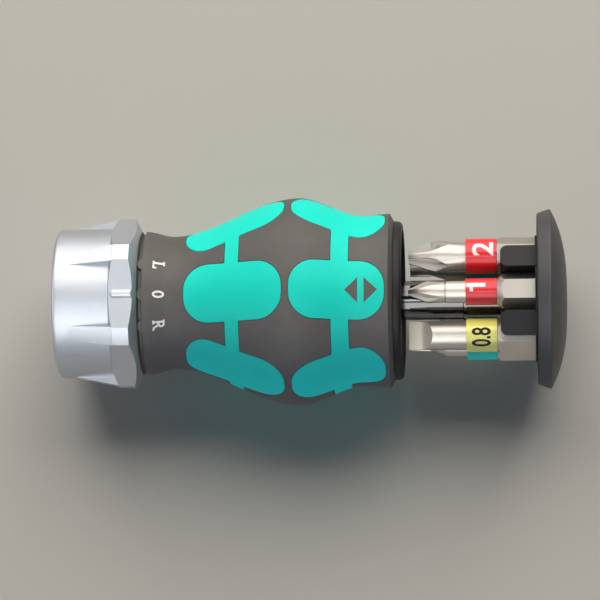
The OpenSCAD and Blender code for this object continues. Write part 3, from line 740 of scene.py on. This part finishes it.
cut(floor, floor_sides, "INTERSECT")
for k in range(SIDES):
    pocket = plain_ring("pocket", (FLOOR_START - OVERRUN, CLAW_ROOT + OVERRUN),
                        (0, POCKET_R), POCKET_STEPS)
    to_bit_place(pocket, 360 / SIDES * k)
    cut(floor, pocket)
crown = join([crown, floor, *claws])
smooth(crown)
dress(crown, deep_black, "magazine", "black_plastic", "bit_crown")

# End cap: a shallow black moulded dome at the magazine's end. The recess in its rim
# takes the mouth's lip when the magazine is pushed in.
CAP_EDGE = 0.35 * MM
HARD_BLACK = (0.044, 0.043, 0.044)
hard_black = finish("hard_black", HARD_BLACK, roughness=0.50, grain=5000.0,
                    depth=0.03 * MM, shade=0.10, Specular_IOR_Level=0.42)
cap = welded_copy("end_cap", "cap_moulded")
ease_edges(cap, CAP_EDGE)
smooth(cap)
dress(cap, hard_black, "magazine", "black_plastic", "end_cap")

# Bits: nickel-plated steel, each on its own body. A cross tip is turned, and four
# V flutes with a rising floor are milled into it; a blade has two ground faces.
BIT_KINDS = ("cross_2", "cross_1", "slotted", "star_1", "star_2", "star_3")
BIT_ANGLES = {"cross_2": -60, "cross_1": 0, "slotted": 60}
BIT_EDGE = 0.06 * MM
NICKEL = (0.52, 0.48, 0.425)
GROUND_NICKEL = (0.60, 0.54, 0.45)
TIP_X = 68.8
TIP_LENGTH = 11.05
TIP_END = TIP_X + TIP_LENGTH
TIP_STEPS = 96
TIP_CLEARANCE_RADII = (0, 16)
FLUTES = 4
FLUTE_REACH = 7.0
CROSS_TIPS = {
    "cross_2": {"outline": ((0, 1.35), (5.3, 3.15), (TIP_LENGTH, 2.65)),
                "floor_lines": ((3.0, 0.6), (22.0, -0.92), (38.0, -3.2)),
                "roll": 15.5},
    "cross_1": {"outline": ((0, 0.6), (3.6, 2.15), (7.0, 1.98), (7.08, 1.8), (7.22, 1.8),
                            (7.3, 2.1), (TIP_LENGTH, 2.12)),
                "floor_lines": ((7.6, 0.45), (18.0, -0.12)),
                "roll": 43.0},
}
BLADE = ((0, 2.8), (4.0, 2.8), (4.1, 2.85), (TIP_LENGTH, 2.85))
BLADE_ROLL = -50
GROUND_END = 4.7
GROUND_R = 2.72
GROUND_REACH = 5
GROUND_FACE = ((-OVERRUN, 0.26), (0, 0.4), (2.2, 0.7), (2.7, 0.83), (3.1, 1.05),
               (3.5, 1.42), (3.9, 1.88), (4.3, 2.4), (4.65, 2.95),
               (GROUND_END, GROUND_REACH), (-OVERRUN, GROUND_REACH))


def turned_tip(outline):
    """The turned blank of a tip, on the tool axis."""
    return lathe("turned_tip", [(TIP_X, 0)] + [(TIP_X + x, r) for x, r in outline]
                 + [(TIP_END, 0)], TIP_STEPS)


def cross_tip(outline, floor_lines, roll):
    """A turned tip with four flutes, whose floor follows the highest of its lines."""
    tip = turned_tip(outline)
    vee = [(0, 0), (FLUTE_REACH, FLUTE_REACH), (-FLUTE_REACH, FLUTE_REACH)]
    for k in range(FLUTES):
        flutes = []
        for slant, apex in floor_lines:
            flute = prism("flute", vee, -FLUTE_REACH, 3 * FLUTE_REACH)
            flute.data.transform(Matrix.Rotation(radians(-slant), 4, "Y"))
            flute.data.transform(Matrix.Translation((TIP_X * MM, 0, apex * MM)))
            turn(flute, radians(roll + 360 / FLUTES * k))
            flutes.append(flute)
        for other in flutes[1:]:
            cut(flutes[0], other, "INTERSECT")
        cut(tip, flutes[0])
    return tip


def blade_tip():
    """A turned tip with two ground faces."""
    tip = turned_tip(BLADE)
    for side in (0, 180):
        outline = [(TIP_X + x, -GROUND_REACH, z) for x, z in GROUND_FACE]
        ground = swept("ground_face", outline, (0, 2 * GROUND_REACH, 0))
        turn(ground, radians(BLADE_ROLL + side))
        cut(tip, ground)
    return tip


bit_steel = finish("bit_steel", NICKEL, roughness=0.40, metallic=1.0, grain=1200.0,
                   depth=0.003 * MM, stretch=(10, 1, 1))
ground_steel = finish("ground_steel", GROUND_NICKEL, roughness=0.55, metallic=0.35,
                      grain=2500.0, depth=0.006 * MM, stretch=(1, 6, 1))
for kind in BIT_KINDS:
    bit = welded_copy("bit_" + kind, "bit_" + kind + "_milled")
    if kind in BIT_ANGLES:
        cut(bit, plain_ring("tip_clearance", (TIP_X - OVERRUN, TIP_END),
                            TIP_CLEARANCE_RADII))
        tip = cross_tip(**CROSS_TIPS[kind]) if kind in CROSS_TIPS else blade_tip()
        to_bit_place(tip, BIT_ANGLES[kind])
        bit = join([bit, tip])
    ease_edges(bit, BIT_EDGE, segments=2)
    smooth(bit)
    dress(bit, bit_steel, "bit_" + kind + "_set", "bit_steel", "bit_" + kind)
    if kind == "slotted":
        bit.data.materials.append(ground_steel)
        turning = Matrix.Rotation(radians(MAGAZINE_TURN + BIT_ANGLES[kind]), 4, "X")
        bit_axis = (turning @ Vector((0, 0, BIT_CIRCLE_R * MM))).yz
        for face in bit.data.polygons:
            if (face.center.x < (TIP_X + GROUND_END) * MM
                    and (face.center.yz - bit_axis).length < GROUND_R * MM):
                face.material_index = 1

# Colour sleeves: glossy plastic tubes, shrunk on the bits' necks. Red is for the
# cross bits, yellow for the slotted one and green for the star bits.
SLEEVE_EDGE = 0.08 * MM
SLEEVE_COLOURS = {"red": (0.92, 0.024, 0.036), "yellow": (0.93, 0.88, 0.20),
                  "green": (0.0, 0.70, 0.50)}
SLEEVES = {"cross_2": "red", "cross_1": "red", "slotted": "yellow",
           "star_1": "green", "star_2": "green", "star_3": "green"}
sleeve_paints = {colour: finish(colour + "_sleeve", tint, roughness=0.22, grain=1500.0,
                                depth=0.003 * MM)
                 for colour, tint in SLEEVE_COLOURS.items()}
for kind, colour in SLEEVES.items():
    sleeve = welded_copy("sleeve_" + kind, "sleeve_" + kind + "_shrunk")
    ease_edges(sleeve, SLEEVE_EDGE, segments=2)
    smooth(sleeve)
    dress(sleeve, sleeve_paints[colour], "bit_" + kind + "_set", colour + "_sleeve",
          "sleeve_" + kind)

# Size numbers: a thin printed film on the sleeves of the three bits that lie to the
# front, white on red and black on yellow.
PRINT_BLACK = (0.012, 0.012, 0.012)
ONE_FLAG = (-1.25, 0, 0.55, 1.22)
SLEEVE_SPAN = (75, 90)
black_print = finish("black_print", PRINT_BLACK, roughness=0.5, grain=6000.0, shade=0.02,
                     Specular_IOR_Level=0.2)
SIZE_PRINTS = (
    ("cross_2", "2", 2.9, 4.1, 83.2, 3.45, 44, white_print),
    ("cross_1", "1", 0.88, 3.7, 81.9, 2.6, -20, white_print),
    ("slotted", "0.8", 3.7, 3.7, 82.8, 3.25, -43, black_print),
)
for kind, size, width, height, x, wall_r, spot, paint in SIZE_PRINTS:
    if size == "1":
        stem = bar(-width / 2, width / 2, -height / 2, height / 2)
        digits = add_strokes(stem, [ONE_FLAG])
    else:
        digits = solid_text(size, width, height, weight=0.02)
    place_text(digits, pi / 2, x, wall_r, radians(spot))
    digits.name = "size_" + kind
    cut(digits, plain_ring("sleeve_film", SLEEVE_SPAN, (wall_r - FILM, wall_r + FILM)),
        "INTERSECT")
    to_bit_place(digits, BIT_ANGLES[kind])
    dress(digits, paint, "bit_" + kind + "_set", SLEEVES[kind] + "_sleeve")
